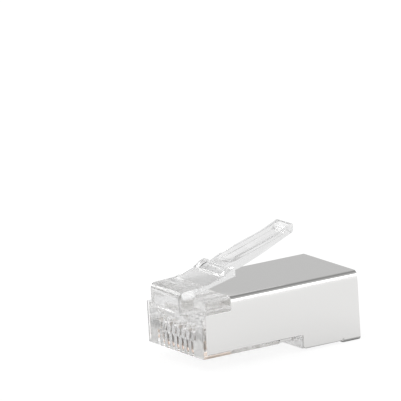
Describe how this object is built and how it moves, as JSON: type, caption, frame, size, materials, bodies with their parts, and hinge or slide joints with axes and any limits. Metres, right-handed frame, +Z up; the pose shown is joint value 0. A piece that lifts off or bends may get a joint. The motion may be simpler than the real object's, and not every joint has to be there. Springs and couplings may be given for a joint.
{
  "type": "shielded modular plug",
  "caption": "Uncrimped shielded modular cable plug: clear housing with a folded metal shield, stamped contacts in slots and a spring latch lever.",
  "frame": {"origin": "middle of the mating face's lower edge, on the plane of the contact side at the front", "axes": "+X across the width towards contact 8, +Y from the mating face back to the cable end, +Z up to the latch side"},
  "size_m": [0.0118, 0.0226, 0.0138],
  "materials": {
    "clear_plastic": "clear moulded polycarbonate",
    "shield_metal": "bright nickel plate on folded sheet",
    "contact_metal": "thin gold over copper alloy"
  },
  "bodies": {
    "plug_body": {"housing": "clear_plastic", "shield": "shield_metal", "contact_1": "contact_metal", "contact_2": "contact_metal", "contact_3": "contact_metal", "contact_4": "contact_metal", "contact_5": "contact_metal", "contact_6": "contact_metal", "contact_7": "contact_metal", "contact_8": "contact_metal"},
    "latch": {"latch_lever": "clear_plastic"}
  },
  "joints": [
    {"name": "latch_hinge", "type": "hinge", "parent": "plug_body", "child": "latch", "pos_m": [0, 0.00155, 0.0074], "axis": [-1, 0, 0], "range_deg": [0, 15], "stiffness_Nm_per_rad": 0.12}
  ]
}
